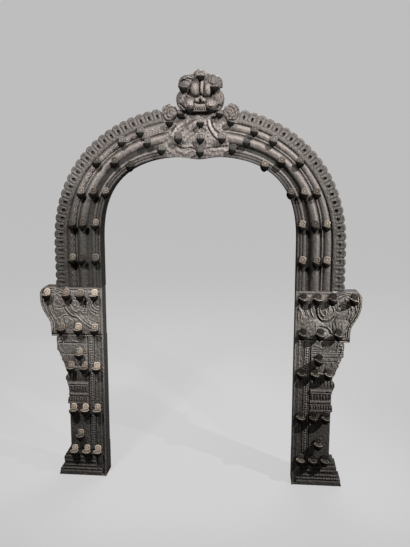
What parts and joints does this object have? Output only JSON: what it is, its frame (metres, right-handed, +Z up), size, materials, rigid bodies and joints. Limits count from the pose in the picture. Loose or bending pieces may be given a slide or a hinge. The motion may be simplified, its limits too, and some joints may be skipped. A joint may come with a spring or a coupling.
{
  "type": "deity aureole",
  "caption": "Cast bronze aureole frame for a deity: an arch with a lion mask, on two makara pillars, set with rows of small lamp cups.",
  "frame": {"origin": "middle of the box, on the floor", "axes": "+Z up, the face looks along -Y, +X to the viewer's right"},
  "size_m": [0.782, 0.07, 1],
  "materials": {
    "bronze": "dark brown patina, rubbed lighter on the high points",
    "dark_bronze": "dark patina, unpolished back",
    "green_bronze": "dark patina with verdigris",
    "worn_bronze": "patina worn to warm metal at the rims"
  },
  "bodies": {
    "arch": {"arch_casting": "bronze", "lamp_row_brow_left": "worn_bronze", "lamp_row_brow_right": "worn_bronze", "lamp_row_crown": "worn_bronze", "lamp_row_haunch_left": "worn_bronze", "lamp_row_haunch_right": "worn_bronze", "lamp_row_jaw_left": "worn_bronze", "lamp_row_jaw_right": "worn_bronze", "lamp_row_shoulder_left": "worn_bronze", "lamp_row_shoulder_right": "worn_bronze", "lamp_row_spring_left": "worn_bronze", "lamp_row_spring_right": "worn_bronze", "lamp_row_turn_left": "worn_bronze", "lamp_row_turn_right": "worn_bronze", "lion_mask": "bronze", "lobed_border_left": "bronze", "lobed_border_right": "bronze", "tongue_left": "dark_bronze", "tongue_right": "dark_bronze", "volute_leaf_left": "bronze", "volute_leaf_right": "bronze"},
    "pillar_left": {"lamp_row_base_left": "worn_bronze", "lamp_row_bracket_left": "worn_bronze", "lamp_row_capital_left": "worn_bronze", "lamp_row_ledge_left": "worn_bronze", "lamp_row_middle_left": "worn_bronze", "lamp_row_neck_left": "worn_bronze", "lamp_row_shaft_left": "worn_bronze", "makara_capital_left": "green_bronze", "pillar_base_left": "bronze", "pillar_shaft_left": "bronze", "socket_left": "dark_bronze"},
    "pillar_right": {"lamp_row_base_right": "worn_bronze", "lamp_row_bracket_right": "worn_bronze", "lamp_row_capital_right": "worn_bronze", "lamp_row_ledge_right": "worn_bronze", "lamp_row_middle_right": "worn_bronze", "lamp_row_neck_right": "worn_bronze", "lamp_row_shaft_right": "worn_bronze", "makara_capital_right": "green_bronze", "pillar_base_right": "bronze", "pillar_shaft_right": "bronze", "socket_right": "dark_bronze"}
  },
  "joints": [
    {"name": "pillar_left_slide", "type": "slide", "parent": "arch", "child": "pillar_left", "axis": [0, 0, -1], "range_m": [0, 0.06]},
    {"name": "pillar_right_slide", "type": "slide", "parent": "arch", "child": "pillar_right", "axis": [0, 0, -1], "range_m": [0, 0.06]}
  ],
  "couplings": [
    {"joint": "pillar_right_slide", "follows": "pillar_left_slide", "ratio": 1}
  ]
}
